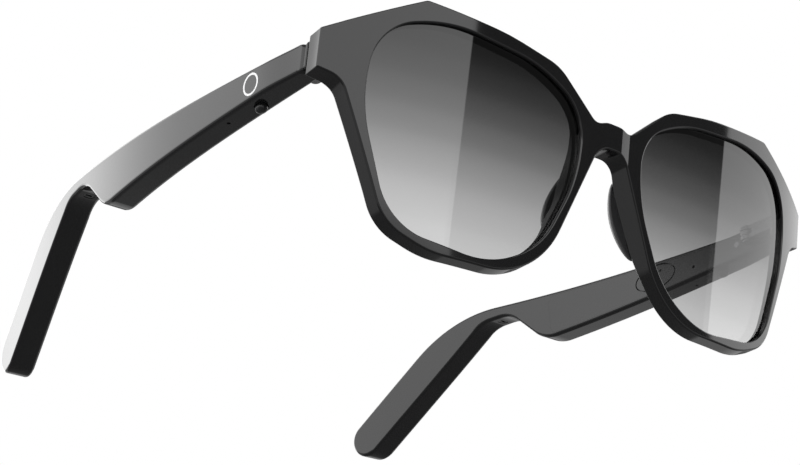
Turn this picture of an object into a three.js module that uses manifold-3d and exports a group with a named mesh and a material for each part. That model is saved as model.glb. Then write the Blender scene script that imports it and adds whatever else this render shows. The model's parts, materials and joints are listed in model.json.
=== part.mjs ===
// Smart glasses: a plastic front with two tinted lenses, and two folding temples that hold the electronics.
// Millimetres, +Z up. The front faces -Y, the temples run towards +Y and +X is the wearer's left.
import * as THREE from "three";
import { mergeVertices } from "three/addons/utils/BufferGeometryUtils.js";
import Module from "manifold-3d";

const wasm = await Module();
wasm.setup();

// Driving dimensions.
const FRONT_HALF_WIDTH = 72.8;
const FRONT_THICK = 3.4;
const BROW_TOP = 26.1;
const RIM_BOTTOM = -24.5;
const WRAP_SQUARE = 0.000418;      // plan curve of the front: y grows with x squared
const WRAP_FOURTH = 0.2573e-6;     // and faster towards the end pieces
const LEAN = 0.2216;               // the top of the front leans forward by this slope
const TEMPLE_BOTTOM = 9.6;
const TEMPLE_THICK = 6.0;          // at the hinge
const TIP_THICK = 6.8;             // along the ear tip
const TEMPLE_PLAN = [73.78, -1.42, 13.66, -24.18, 7.68];   // outer face x, powers of y / 100
const HINGE_X = 66.0;
const HINGE_Y = 16.5;
const GAP = 0.3;                   // play between pieces that meet
const CHORD_TURN = THREE.MathUtils.degToRad(11);   // turn of one chord on a large rounded corner
const SMALL_CHORD_TURN = THREE.MathUtils.degToRad(30);   // and on one under a millimetre
const ELLIPSE_CHORDS = 8;          // half the chords round an ellipse

const COLOURS = {
  frame: [0x141416, 0.35, 0.0],
  lens: [0x2b2e33, 0.05, 0.0],
  pad: [0x1b1b1d, 0.6, 0.0],
  steel: [0xb9bcc0, 0.3, 1.0],
  dark: [0x26262a, 0.5, 0.2],
  battery: [0x8d9096, 0.4, 0.3],
  board: [0x14532d, 0.5, 0.0],
  mark: [0xf0f0f0, 0.5, 0.0],
};

// ---------------------------------------------------------------- mesh helpers

// A shell is { points: [[x, y, z], ...], faces: [[a, b, c], ...] } with outward winding.
function shellOf(geometry) {
  const bare = new THREE.BufferGeometry();
  bare.setAttribute("position", geometry.getAttribute("position").clone());
  if (geometry.index) bare.setIndex(geometry.index.clone());
  const merged = mergeVertices(bare, 1e-4);
  const position = merged.getAttribute("position");
  const points = [];
  for (let i = 0; i < position.count; i++) {
    points.push([position.getX(i), position.getY(i), position.getZ(i)]);
  }
  const index = merged.index.array;
  const faces = [];
  for (let i = 0; i < index.length; i += 3) {
    const face = [index[i], index[i + 1], index[i + 2]];
    if (new Set(face).size === 3) faces.push(face);
  }
  return { points, faces };
}

function geometryOf(shell) {
  const geometry = new THREE.BufferGeometry();
  geometry.setAttribute("position", new THREE.Float32BufferAttribute(shell.points.flat(), 3));
  geometry.setIndex(shell.faces.flat());
  geometry.computeVertexNormals();
  return geometry;
}

// Moves every point; a map that mirrors also turns the faces round.
function mapped(shell, map, mirrors = false) {
  const faces = mirrors ? shell.faces.map(([a, b, c]) => [a, c, b]) : shell.faces;
  return { points: shell.points.map(map), faces };
}

const mirrored = (shell) => mapped(shell, ([x, y, z]) => [-x, y, z], true);

// Splits every edge that spans more than the limit along one axis, so that a bent face stays smooth.
function refined(shell, axis, limit) {
  let { points, faces } = shell;
  points = points.slice();
  for (;;) {
    const middles = new Map();
    const middleOf = (a, b) => {
      const key = a < b ? `${a}_${b}` : `${b}_${a}`;
      if (middles.has(key)) return middles.get(key);
      const [p, q] = [points[a], points[b]];
      let made = -1;
      if (Math.abs(p[axis] - q[axis]) > limit) {
        made = points.length;
        points.push([(p[0] + q[0]) / 2, (p[1] + q[1]) / 2, (p[2] + q[2]) / 2]);
      }
      middles.set(key, made);
      return made;
    };
    const next = [];
    for (const face of faces) {
      const cuts = face.map((corner, i) => middleOf(corner, face[(i + 1) % 3]));
      const count = cuts.filter((cut) => cut >= 0).length;
      if (count === 0) {
        next.push(face);
      } else if (count === 3) {
        next.push([face[0], cuts[0], cuts[2]], [cuts[0], face[1], cuts[1]]);
        next.push([cuts[2], cuts[1], face[2]], cuts);
      } else {
        // Turn the triangle so that its first edge is cut and, with two cuts, its third is whole.
        const turn = cuts.findIndex((cut, i) => cut >= 0 && cuts[(i + 2) % 3] < 0);
        const corner = [0, 1, 2].map((i) => face[(i + turn) % 3]);
        const cut = [0, 1, 2].map((i) => cuts[(i + turn) % 3]);
        if (count === 1) {
          next.push([corner[0], cut[0], corner[2]], [cut[0], corner[1], corner[2]]);
        } else {
          next.push([cut[0], corner[1], cut[1]], [corner[0], cut[0], cut[1]], [corner[0], cut[1], corner[2]]);
        }
      }
    }
    if (next.length === faces.length) return { points, faces };
    faces = next;
  }
}

function manifoldOf(shell) {
  return new wasm.Manifold(new wasm.Mesh({
    numProp: 3,
    vertProperties: new Float32Array(shell.points.flat()),
    triVerts: new Uint32Array(shell.faces.flat()),
  }));
}

function shellFrom(solid) {
  const { vertProperties, triVerts, numProp } = solid.getMesh();
  const points = [];
  for (let i = 0; i < vertProperties.length; i += numProp) {
    points.push([vertProperties[i], vertProperties[i + 1], vertProperties[i + 2]]);
  }
  const faces = [];
  for (let i = 0; i < triVerts.length; i += 3) faces.push([triVerts[i], triVerts[i + 1], triVerts[i + 2]]);
  return { points, faces };
}

function joined(...shells) {
  return shellFrom(shells.map(manifoldOf).reduce((whole, piece) => whole.add(piece)));
}

function cut(shell, ...tools) {
  return shellFrom(tools.map(manifoldOf).reduce((whole, tool) => whole.subtract(tool), manifoldOf(shell)));
}

function common(shell, other) {
  return shellFrom(manifoldOf(shell).intersect(manifoldOf(other)));
}

// ---------------------------------------------------------------- outlines and simple solids

// Points round a closed outline given as [u, v, radius] corners: straight runs joined by arcs of that radius.
function outlinePoints(given) {
  const clockwise = THREE.ShapeUtils.isClockWise(given.map(([u, v]) => new THREE.Vector2(u, v)));
  const corners = clockwise ? given.slice().reverse() : given;
  const points = [];
  corners.forEach(([u, v, radius], i) => {
    const before = corners[(i + corners.length - 1) % corners.length];
    const after = corners[(i + 1) % corners.length];
    const here = new THREE.Vector2(u, v);
    if (radius === 0) {
      points.push(here);
      return;
    }
    const toBefore = new THREE.Vector2(before[0], before[1]).sub(here);
    const toAfter = new THREE.Vector2(after[0], after[1]).sub(here);
    const room = 0.49 * Math.min(toBefore.length(), toAfter.length());
    toBefore.normalize();
    toAfter.normalize();
    const half = Math.acos(THREE.MathUtils.clamp(toBefore.dot(toAfter), -1, 1)) / 2;
    const reach = Math.min(radius / Math.tan(half), room);
    const arc = reach * Math.tan(half);
    const centre = toBefore.clone().add(toAfter).normalize().multiplyScalar(arc / Math.sin(half)).add(here);
    const spoke = toBefore.multiplyScalar(reach).add(here).sub(centre);
    const end = toAfter.multiplyScalar(reach).add(here).sub(centre);
    const turn = Math.atan2(spoke.cross(end), spoke.dot(end));
    const chords = Math.ceil(Math.abs(turn) / (arc < 1 ? SMALL_CHORD_TURN : CHORD_TURN));
    for (let step = 0; step <= chords; step++) {
      points.push(spoke.clone().rotateAround(new THREE.Vector2(), turn * step / chords).add(centre));
    }
  });
  return points;
}

const outline = (corners, Kind = THREE.Shape) => new Kind(outlinePoints(corners));

const turned = (corners) => corners.map(([u, v, r]) => [-u, v, r]).reverse();

// The same outline moved outwards by a distance (inwards when negative), as plain points.
function grown(corners, distance) {
  const points = outlinePoints(corners);
  return points.map((point, i) => {
    const before = points[(i + points.length - 1) % points.length];
    const after = points[(i + 1) % points.length];
    const along = after.clone().sub(before).normalize();
    return new THREE.Vector2(point.x + along.y * distance, point.y - along.x * distance);
  });
}

function extruded(shape, depth, round = 0, roundSteps = 2) {
  return shellOf(new THREE.ExtrudeGeometry(shape, {
    depth: depth - 2 * round,
    curveSegments: ELLIPSE_CHORDS,
    bevelEnabled: round > 0,
    bevelSize: round,
    bevelThickness: round,
    bevelOffset: -round,
    bevelSegments: roundSteps,
  }).translate(0, 0, round));
}

// An outline drawn in x and z, made solid from one y to another.
function slabXZ(shape, fromY, toY, round, roundSteps) {
  return mapped(extruded(shape, toY - fromY, round, roundSteps), ([u, v, w]) => [u, toY - w, v]);
}

// An outline drawn in y and z, made solid from one x to another.
function slabYZ(shape, fromX, toX, round, roundSteps) {
  return mapped(extruded(shape, toX - fromX, round, roundSteps), ([u, v, w]) => [fromX + w, u, v]);
}

// An outline drawn in x and y, made solid from one height to another.
function slabXY(shape, fromZ, toZ, round, roundSteps) {
  return mapped(extruded(shape, toZ - fromZ, round, roundSteps), ([u, v, w]) => [u, v, fromZ + w]);
}

function box(low, high) {
  const size = high.map((value, i) => value - low[i]);
  const middle = high.map((value, i) => (value + low[i]) / 2);
  return shellOf(new THREE.BoxGeometry(...size).translate(...middle));
}

// A round solid standing along z, turned from [radius, z] points that start and end on the axis.
function turnedSolid(profile, x, y, sides = 16) {
  const geometry = new THREE.LatheGeometry(profile.map(([r, z]) => new THREE.Vector2(r, z)), sides);
  return shellOf(geometry.rotateX(Math.PI / 2).translate(x, y, 0));
}

function cylinder(x, y, fromZ, toZ, radius, sides = 16) {
  return turnedSolid([[0, fromZ], [radius, fromZ], [radius, toZ], [0, toZ]], x, y, sides);
}

// A round solid along y; LatheGeometry turns about y, so only its place changes.
function turnedAlongY(profile, x, z, sides = 12) {
  const geometry = new THREE.LatheGeometry(profile.map(([r, y]) => new THREE.Vector2(r, y)), sides);
  return shellOf(geometry.translate(x, 0, z));
}

const alongY = (x, z, fromY, toY, radius) => turnedAlongY([[0, fromY], [radius, fromY], [radius, toY], [0, toY]], x, z);

// A round solid along x.
function turnedAlongX(profile, y, z, sides = 12) {
  const geometry = new THREE.LatheGeometry(profile.map(([r, x]) => new THREE.Vector2(r, x)), sides);
  return shellOf(geometry.rotateZ(-Math.PI / 2).translate(0, y, z));
}

// ---------------------------------------------------------------- the two bends

// Front: flat y becomes the wrapped and leaning front, whose outer surface is y = frontY(x, z).
const frontY = (x, z) => WRAP_SQUARE * x ** 2 + WRAP_FOURTH * x ** 4 - LEAN * z;
const WRAP_STEP = 7;               // longest chord across the front
const wrapped = (shell) => mapped(refined(shell, 0, WRAP_STEP), ([x, y, z]) => [x, y + frontY(x, z), z]);

// Temple: the outer face's x at each y, the thickness there, and the bend that a straight temple takes.
const templeX = (y) => TEMPLE_PLAN.reduce((sum, factor, power) => sum + factor * (y / 100) ** power, 0);
const templeThick = (y) => TEMPLE_THICK + (TIP_THICK - TEMPLE_THICK) * THREE.MathUtils.clamp(y / 110, 0, 1);
// A straight temple runs from depth 0 at its inner face to depth 1 at its outer face.
const BOW_STEP = 15;               // longest chord along the temple
const bowed = (shell) => mapped(refined(shell, 1, BOW_STEP), ([depth, y, z]) => [
  templeX(y) - templeThick(y) * (1 - depth), y, z,
]);

// ---------------------------------------------------------------- front

// Half of the front's outline from the bridge's top round the left rim to the nose arch.
const FRONT_CORNERS = [
  [2.0, 13.85, 6],
  [5.2, 12.9, 3.5],
  [16.8, 21.9, 12],
  [31.2, 24.5, 70],
  [51.8, BROW_TOP, 2],
  [FRONT_HALF_WIDTH, 16.4, 0.4],
  [FRONT_HALF_WIDTH, 8.3, 0.4],
  [67.9, 6.6, 6.0],
  [56.6, -20.6, 11],
  [46.0, RIM_BOTTOM, 22],
  [18.6, RIM_BOTTOM, 21],
  [3.7, 8.15, 4.5],
];
const LENS_CORNERS = [
  [9.1, 13.9, 11.6],
  [21.5, 20.4, 34.7],
  [46.6, 22.9, 60],
  [61.6, 18.6, 12.4],
  [63.6, 3.0, 40],
  [55.2, -20.9, 13.5],
  [31.0, -23.7, 30],
  [17.9, -16.9, 20.8],
  [9.4, -0.1, 30],
];
const LENS_SEAT = 0.6;             // how far the lens reaches into its groove
const LENS_FROM_FRONT = 1.0;
const LENS_THICK = 1.8;
const BRIDGE_PROUD = 0.28;
const BRIDGE_TOP_HALF = 2.4;
const BRIDGE_FOOT_HALF = 4.9;
const RIM_ROUND = 0.35;
const END_BLOCK_X = 68.9;          // outside this, the end piece is deeper than the rims
const END_BLOCK_DEPTH = 4.3;
// Behind the nose the frame is thicker: extra depth at each height, in straight runs.
const SADDLE = [[-18, 0], [-2, 2.6], [8, 1.3], [14, 0]];
const SADDLE_HALF = 17;
const SADDLE_STEP = 2;             // longest chord down the saddle

const BRACKET_X = [63.9, 68.1];
const BRACKET_Z = [9.2, 17.6];
const BRACKET_THICK = 0.8;
const BRACKET_FRONT = FRONT_THICK + GAP;
const BRACKET_BACK = BRACKET_FRONT + BRACKET_THICK;
const BRACKET_SCREWS = [[65.9, 10.5], [65.9, 16.3]];
const SCREW_RADIUS = 0.5;

function saddleDepth(z) {
  for (let i = 1; i < SADDLE.length; i++) {
    const [[fromZ, fromDepth], [toZ, toDepth]] = [SADDLE[i - 1], SADDLE[i]];
    if (z >= fromZ && z <= toZ) return THREE.MathUtils.mapLinear(z, fromZ, toZ, fromDepth, toDepth);
  }
  return 0;
}

// Moves whatever lies at the back of the plate further back, by the saddle's extra depth.
const onSaddle = (shell) => mapped(refined(shell, 2, SADDLE_STEP), ([x, y, z]) => [
  x, y > FRONT_THICK - RIM_ROUND - 0.01 ? y + saddleDepth(z) : y, z,
]);

function frontFrame() {
  const whole = [...FRONT_CORNERS, ...turned(FRONT_CORNERS)];
  const shape = outline(whole);
  shape.holes.push(outline(LENS_CORNERS, THREE.Path), outline(turned(LENS_CORNERS), THREE.Path));
  const plate = slabXZ(shape, 0, FRONT_THICK, RIM_ROUND, 1);
  // The bridge stands proud of the rims, with a slanted flank each side.
  const [top, foot] = [BRIDGE_TOP_HALF, BRIDGE_FOOT_HALF];
  const plan = outline([
    [-foot, 0.4, 0], [-foot, 0, 0], [-top, -BRIDGE_PROUD, 0.4], [top, -BRIDGE_PROUD, 0.4], [foot, 0, 0], [foot, 0.4, 0],
  ]);
  const bridge = common(slabXY(plan, 0, 20), slabXZ(outline(whole), -2, 2));
  const saddleFrom = FRONT_THICK - 3 * RIM_ROUND;
  const saddle = onSaddle(common(
    slabXZ(shape, saddleFrom, FRONT_THICK, RIM_ROUND, 1),
    box([-SADDLE_HALF, saddleFrom - 1, SADDLE[0][0]], [SADDLE_HALF, FRONT_THICK + 1, SADDLE[3][0]]),
  ));
  const endBlock = common(
    slabXZ(outline(whole), 0, END_BLOCK_DEPTH, RIM_ROUND, 1),
    box([END_BLOCK_X, 1, RIM_BOTTOM], [FRONT_HALF_WIDTH + 1, END_BLOCK_DEPTH + 1, BROW_TOP]),
  );
  const grooveFrom = LENS_FROM_FRONT - 0.2;
  const grooveTo = LENS_FROM_FRONT + LENS_THICK + 0.2;
  const groove = slabXZ(new THREE.Shape(grown(LENS_CORNERS, LENS_SEAT + GAP)), grooveFrom, grooveTo);
  const holes = BRACKET_SCREWS.map(([x, z]) => alongY(x, z, 1.2, FRONT_THICK + 1, SCREW_RADIUS + 0.2));
  const body = joined(plate, bridge, saddle, endBlock, mirrored(endBlock));
  return wrapped(cut(body, groove, mirrored(groove), ...holes, ...holes.map(mirrored)));
}

function lens() {
  const shape = new THREE.Shape(grown(LENS_CORNERS, LENS_SEAT));
  return wrapped(slabXZ(shape, LENS_FROM_FRONT, LENS_FROM_FRONT + LENS_THICK, 0.2, 1));
}

// Soft pad on the saddle, leaning with the nose line and open towards the face.
function nosePad() {
  const half = [1.9, 2.2, 8.6];
  const centre = [9.6, FRONT_THICK + 0.3, -3.0];
  const noseLean = THREE.MathUtils.degToRad(24.5);
  const splay = THREE.MathUtils.degToRad(22);
  const ball = new THREE.SphereGeometry(1, 20, 12).scale(...half);
  ball.rotateZ(-splay).rotateY(-noseLean).translate(...centre);
  return wrapped(onSaddle(common(shellOf(ball), box([0, FRONT_THICK + GAP, -20], [30, 15, 20]))));
}

// ---------------------------------------------------------------- hinge

const KNUCKLE_RADIUS = 1.7;
const PIN_RADIUS = 0.6;
const PIN_PLAY = 0.1;
const ARM_HALF = 1.1;
const KNUCKLE_BOTTOM = 12.1;
const SLOT_FLOOR = 13.0;
const SLOT_ROOF = 14.4;
const KNUCKLE_TOP = 15.2;
const KNUCKLE_SIDES = 32;
const SLOT_PLAY = 0.2;

// Steel bracket on the back of the end piece: a plate, an arm and two knuckles.
function frontBracket() {
  const plateShape = outline([
    [BRACKET_X[0], BRACKET_Z[0], 1], [BRACKET_X[1], BRACKET_Z[0], 1],
    [BRACKET_X[1], BRACKET_Z[1], 1], [BRACKET_X[0], BRACKET_Z[1], 1],
  ]);
  const holes = BRACKET_SCREWS.map(([x, z]) => alongY(x, z, 0, 10, SCREW_RADIUS + 0.15));
  const plate = cut(slabXZ(plateShape, BRACKET_FRONT, BRACKET_BACK), ...holes);
  const arm = box([HINGE_X - ARM_HALF, BRACKET_BACK - 0.4, KNUCKLE_BOTTOM], [HINGE_X + ARM_HALF, 9, KNUCKLE_TOP]);
  const web = box([HINGE_X - ARM_HALF, 12, KNUCKLE_BOTTOM], [HINGE_X + ARM_HALF, HINGE_Y, KNUCKLE_TOP]);
  const knuckles = cylinder(HINGE_X, HINGE_Y, KNUCKLE_BOTTOM, KNUCKLE_TOP, KNUCKLE_RADIUS, KNUCKLE_SIDES);
  const slotReach = KNUCKLE_RADIUS + 0.4;
  const slot = box([HINGE_X - 4, HINGE_Y - slotReach, SLOT_FLOOR], [HINGE_X + 4, HINGE_Y + 4, SLOT_ROOF]);
  const bore = cylinder(HINGE_X, HINGE_Y, KNUCKLE_BOTTOM - 1, KNUCKLE_TOP + 1, PIN_RADIUS + PIN_PLAY);
  return cut(joined(wrapped(joined(plate, arm)), web, knuckles), slot, bore);
}

function bracketScrew([x, z]) {
  const head = 1.0;
  const headBack = BRACKET_BACK + 0.55;
  const profile = [
    [0, 1.6], [SCREW_RADIUS, 1.6], [SCREW_RADIUS, BRACKET_BACK + 0.1],
    [head, BRACKET_BACK + 0.1], [head, headBack - 0.2], [head - 0.3, headBack], [0, headBack],
  ];
  return wrapped(turnedAlongY(profile, x, z));
}

// Hinge screw: a wide head under the lower knuckle and a riveted end above the upper one.
function hingePin() {
  const [headBottom, headTop] = [KNUCKLE_BOTTOM - 0.8, KNUCKLE_BOTTOM - 0.15];
  const [capBottom, capTop] = [KNUCKLE_TOP + 0.15, KNUCKLE_TOP + 0.6];
  return turnedSolid([
    [0, headBottom], [1.1, headBottom], [1.4, headBottom + 0.3], [1.4, headTop],
    [PIN_RADIUS, headTop], [PIN_RADIUS, capBottom], [1.1, capBottom], [0.8, capTop], [0, capTop],
  ], HINGE_X, HINGE_Y, KNUCKLE_SIDES);
}

const LEAF_X = [68.2, 69.0];
const LEAF_Y = [15.6, 24.0];
const LEAF_Z = [12.2, 14.4];
const LEAF_SCREW = [21.4, 13.3];

// Steel leaf let into the temple, with the middle knuckle of the hinge.
function templeLeaf() {
  const [floor, roof] = [SLOT_FLOOR + SLOT_PLAY, SLOT_ROOF - SLOT_PLAY];
  const knuckle = cylinder(HINGE_X, HINGE_Y, floor, roof, KNUCKLE_RADIUS, KNUCKLE_SIDES);
  const web = box([HINGE_X, LEAF_Y[0], floor], [LEAF_X[1], LEAF_Y[0] + 1.8, roof]);
  const plateShape = outline([
    [LEAF_Y[0], LEAF_Z[0], 0.3], [LEAF_Y[1], LEAF_Z[0], 1],
    [LEAF_Y[1], LEAF_Z[1], 1], [LEAF_Y[0], LEAF_Z[1], 0.3],
  ]);
  const plate = slabYZ(plateShape, ...LEAF_X);
  const bore = cylinder(HINGE_X, HINGE_Y, floor - 1, roof + 1, PIN_RADIUS + PIN_PLAY);
  const [y, z] = LEAF_SCREW;
  const reach = SCREW_RADIUS + 0.15;
  const hole = turnedAlongX([[0, LEAF_X[0] - 1], [reach, LEAF_X[0] - 1], [reach, LEAF_X[1] + 1], [0, LEAF_X[1] + 1]], y, z);
  return cut(joined(knuckle, web, plate), bore, hole);
}

function leafScrew() {
  const headX = LEAF_X[0] - 0.1;
  return turnedAlongX([
    [0, headX - 0.5], [0.7, headX - 0.5], [0.95, headX - 0.3], [0.95, headX],
    [SCREW_RADIUS, headX], [SCREW_RADIUS, LEAF_X[1] + 1.5], [0, LEAF_X[1] + 1.5],
  ], ...LEAF_SCREW);
}

// ---------------------------------------------------------------- temple

const NECK_BOTTOM = 20.4;
// Side view of a temple: y, z and corner radius, from the hinge along the top to the ear tip and back.
const TEMPLE_CORNERS = [
  [3.0, 15.6, 1.2],
  [24.0, 16.4, 30],
  [66.0, 20.4, 60],
  [117.0, 25.3, 40],
  [154.2, -1.4, 4.8],
  [148.7, -9.3, 4.8],
  [107.0, NECK_BOTTOM, 10],
  [97.4, NECK_BOTTOM, 9],
  [86.6, TEMPLE_BOTTOM, 10],
  [3.0, TEMPLE_BOTTOM, 1.2],
];
const WALL = 0.95;
const ELECTRONICS_Y = [25, 84];
// Side view of the electronics bay, which the inner cover closes.
const BAY_CORNERS = [
  [ELECTRONICS_Y[0], 15.4, 0.8],
  [66.0, 20.4 - WALL, 60],
  [ELECTRONICS_Y[1], 22.0 - WALL, 2],
  [ELECTRONICS_Y[1], TEMPLE_BOTTOM + WALL, 1.5],
  [ELECTRONICS_Y[0], TEMPLE_BOTTOM + WALL, 0.8],
];
const COVER_DEPTH = 0.19;          // share of the temple's thickness
const BAY_DEPTH = 0.79;
const EDGE_ROUND = 0.9;
const CAP_FROM = 4.7;              // end cap and shell end, behind the front's outer surface
const CAP_THICK = 0.5;
const SHELL_FROM = CAP_FROM + CAP_THICK + GAP;
const CAP_X = 68.6;

const CONTROL_Y = 28.8;
const BUTTON_INWARDS = 0.4;        // the button sits a little off the middle, towards the head
const BUTTON_LENGTH = 2.9;
const BUTTON_WIDTH = 2.5;
const BUTTON_BOTTOM = TEMPLE_BOTTOM - 1.5;
const MIC_Y = 38.5;
const PLATE_CENTRE = [48.3, 14.12];
const PLATE_HALF = [6.3, 2.9];
const MARK_CENTRE = [27.7, 13.1];
const GRILLE_Y = [98.8, 103.8];

const midX = (y) => templeX(y) - templeThick(y) / 2;
const BUTTON_X = midX(CONTROL_Y) - BUTTON_INWARDS;

// A stretch of the temple body between two depths, cut from an outline in y and z.
const straight = (shape, fromDepth, toDepth) => slabYZ(shape, fromDepth, toDepth);

function templeBody() {
  const roundDepth = EDGE_ROUND / TEMPLE_THICK;
  const body = shellOf(new THREE.ExtrudeGeometry(outline(TEMPLE_CORNERS), {
    depth: 1 - 2 * roundDepth,
    bevelSize: EDGE_ROUND,
    bevelOffset: -EDGE_ROUND,
    bevelThickness: roundDepth,
    bevelSegments: 2,
  }).translate(0, 0, roundDepth));
  return mapped(body, ([u, v, w]) => [w, u, v]);
}

// Ahead of this y the outer face draws in, to end level with the end piece.
const DRAWN_FROM = 24;
const DRAWN_TO = 10;
const DRAWN_IN = 1.1;

function drawnIn() {
  const outside = FRONT_HALF_WIDTH + 10;
  const front = templeX(DRAWN_TO) - DRAWN_IN;
  return slabXY(outline([
    [templeX(DRAWN_FROM) + GAP, DRAWN_FROM, 0], [front, DRAWN_TO, 0], [front, 0, 0],
    [outside, 0, 0], [outside, DRAWN_FROM, 0],
  ]), 0, 30);
}

function ellipse([y, z], [halfY, halfZ], Kind = THREE.Shape) {
  const path = new Kind();
  path.absellipse(y, z, halfY, halfZ, 0, Math.PI * 2);
  return path;
}

function capsule(x, y, width, length) {
  const [half, round] = [length / 2, width / 2 - 0.01];
  return outline([
    [x - width / 2, y - half, round], [x + width / 2, y - half, round],
    [x + width / 2, y + half, round], [x - width / 2, y + half, round],
  ]);
}

// Everything ahead of this offset from the front's outer surface.
function aheadOf(depth, fromX = 55) {
  return wrapped(box([fromX, -12, -5], [82, depth, 30]));
}

function templeShell(withMark) {
  const bay = straight(outline(BAY_CORNERS), -0.2, BAY_DEPTH);
  const duct = straight(outline([
    [83, 18.4, 0], [83, 20.2, 0], [97, 22.4, 2], [103.8, 22.6, 0.3], [103.8, 21.4, 0.3], [97, 21.2, 2],
  ]), 0.33, 0.67);
  const vent = box([0.26, GRILLE_Y[0] - GAP, NECK_BOTTOM - 1], [0.74, GRILLE_Y[1] + GAP, NECK_BOTTOM + 1.1]);
  const tools = [bay, duct, vent];
  if (withMark) {
    const groove = ellipse(MARK_CENTRE, [2.65, 2.65]);
    groove.holes.push(ellipse(MARK_CENTRE, [1.85, 1.85], THREE.Path));
    tools.push(straight(groove, 0.955, 1.2));
  }
  const body = bowed(cut(templeBody(), ...tools));
  const front = aheadOf(SHELL_FROM);
  const pocket = box([60, LEAF_Y[0] - GAP, LEAF_Z[0] - GAP], [LEAF_X[1] + GAP, LEAF_Y[1] + GAP, LEAF_Z[1] + GAP]);
  const knuckleRoom = cylinder(HINGE_X, HINGE_Y, 5, 20, KNUCKLE_RADIUS + 0.35);
  const screwReach = LEAF_X[1] + 1.8;
  const screwHole = turnedAlongX([[0, 60], [0.7, 60], [0.7, screwReach], [0, screwReach]], ...LEAF_SCREW);
  const buttonHole = slabXY(capsule(BUTTON_X, CONTROL_Y, BUTTON_WIDTH + 0.4, BUTTON_LENGTH + 0.4), 7, 11);
  const micHole = cylinder(midX(MIC_Y) + 0.7, MIC_Y, 8, 11, 0.4, 12);
  return cut(body, front, drawnIn(), pocket, knuckleRoom, screwHole, buttonHole, micHole);
}

function templeCover() {
  const plate = straight(new THREE.Shape(grown(BAY_CORNERS, -GAP)), 0, COVER_DEPTH);
  const recess = straight(ellipse(PLATE_CENTRE, PLATE_HALF.map((half) => half + GAP)), -0.2, 0.1);
  const port = straight(ellipse([35.7, 12.7], [0.4, 0.4]), -0.2, 0.3);
  return bowed(cut(plate, recess, port));
}

function chargingPlate() {
  const shape = ellipse(PLATE_CENTRE, PLATE_HALF);
  shape.holes.push(ellipse([PLATE_CENTRE[0] - 1.9, PLATE_CENTRE[1] + 1.2], [0.5, 0.5], THREE.Path));
  return bowed(straight(shape, 0, 0.06));
}

// Thin plate that closes the temple's front end and meets the end piece when the temple is open.
function endCap() {
  const body = bowed(templeBody());
  const slab = cut(aheadOf(CAP_FROM + CAP_THICK, CAP_X), aheadOf(CAP_FROM));
  return cut(common(body, slab), drawnIn());
}

function button() {
  const key = slabXY(capsule(BUTTON_X, CONTROL_Y, BUTTON_WIDTH, BUTTON_LENGTH), BUTTON_BOTTOM, 11.2, 0.5, 2);
  const flange = slabXY(capsule(BUTTON_X, CONTROL_Y, BUTTON_WIDTH, BUTTON_LENGTH + 1.4), 10.9, 11.4);
  return joined(key, flange);
}

const buttonSwitch = () => box(
  [BUTTON_X - 1.3, CONTROL_Y - 1.7, 12.1], [BUTTON_X + 1.3, CONTROL_Y + 1.7, 13.5],
);
const microphone = () => cylinder(midX(MIC_Y) + 0.7, MIC_Y, 10.9, 12.1, 1.0);

function circuitBoard() {
  const board = box([0.62, 32, 12.6], [0.73, 50, 15.9]);
  const chips = [[34, 38.5], [41, 48]].map(([from, to]) => box([0.42, from, 13.1], [0.64, to, 15.4]));
  return bowed(joined(board, ...chips));
}

const battery = () => bowed(straight(outline([
  [51.5, 11.2, 0.8], [74, 11.2, 0.8], [74, 18.6, 0.8], [51.5, 17.2, 0.8],
]), 0.25, 0.72));

function speaker() {
  const side = outline([[75.6, 11.6, 2], [83, 11.6, 2], [83, 19.4, 2], [75.6, 19.0, 2]]);
  return bowed(straight(side, 0.28, 0.7));
}

function speakerGrille() {
  const [from, to] = GRILLE_Y;
  const plate = box([0.3, from, NECK_BOTTOM + 0.1], [0.7, to, NECK_BOTTOM + 0.7]);
  const slots = [0.9, 2.1, 3.3].map((step) => (
    box([0.38, from + step, NECK_BOTTOM - 1], [0.62, from + step + 0.6, NECK_BOTTOM + 2])
  ));
  return bowed(cut(plate, ...slots));
}

function mark() {
  const ring = ellipse(MARK_CENTRE, [2.5, 2.5]);
  ring.holes.push(ellipse(MARK_CENTRE, [2.02, 2.02], THREE.Path));
  return bowed(straight(ring, 0.965, 1.0));
}

// ---------------------------------------------------------------- assembly

function mesh(name, shell, [color, roughness, metalness]) {
  const made = new THREE.Mesh(geometryOf(shell), new THREE.MeshStandardMaterial({ color, roughness, metalness }));
  made.name = name;
  return made;
}

const pieces = new THREE.Group();
pieces.name = "pieces";
pieces.add(mesh("front_frame", frontFrame(), COLOURS.frame));

// Sub-part name, its solid for the wearer's left, and its colours.
const PAIRED = [
  ["lens", lens(), COLOURS.lens],
  ["nose_pad", nosePad(), COLOURS.pad],
  ["hinge_bracket", frontBracket(), COLOURS.steel],
  ["bracket_screw_lower", bracketScrew(BRACKET_SCREWS[0]), COLOURS.steel],
  ["bracket_screw_upper", bracketScrew(BRACKET_SCREWS[1]), COLOURS.steel],
  ["hinge_pin", hingePin(), COLOURS.steel],
  ["hinge_leaf", templeLeaf(), COLOURS.steel],
  ["leaf_screw", leafScrew(), COLOURS.steel],
  ["temple_cover", templeCover(), COLOURS.frame],
  ["temple_end_cap", endCap(), COLOURS.frame],
  ["charging_plate", chargingPlate(), COLOURS.dark],
  ["control_button", button(), COLOURS.dark],
  ["button_switch", buttonSwitch(), COLOURS.dark],
  ["microphone", microphone(), COLOURS.steel],
  ["circuit_board", circuitBoard(), COLOURS.board],
  ["battery", battery(), COLOURS.battery],
  ["speaker", speaker(), COLOURS.dark],
  ["speaker_grille", speakerGrille(), COLOURS.dark],
];
for (const [name, shell, colours] of PAIRED) {
  pieces.add(mesh(`${name}_left`, shell, colours));
  pieces.add(mesh(`${name}_right`, mirrored(shell), colours));
}
pieces.add(mesh("temple_shell_left", templeShell(false), COLOURS.frame));
pieces.add(mesh("temple_shell_right", mirrored(templeShell(true)), COLOURS.frame));
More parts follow.
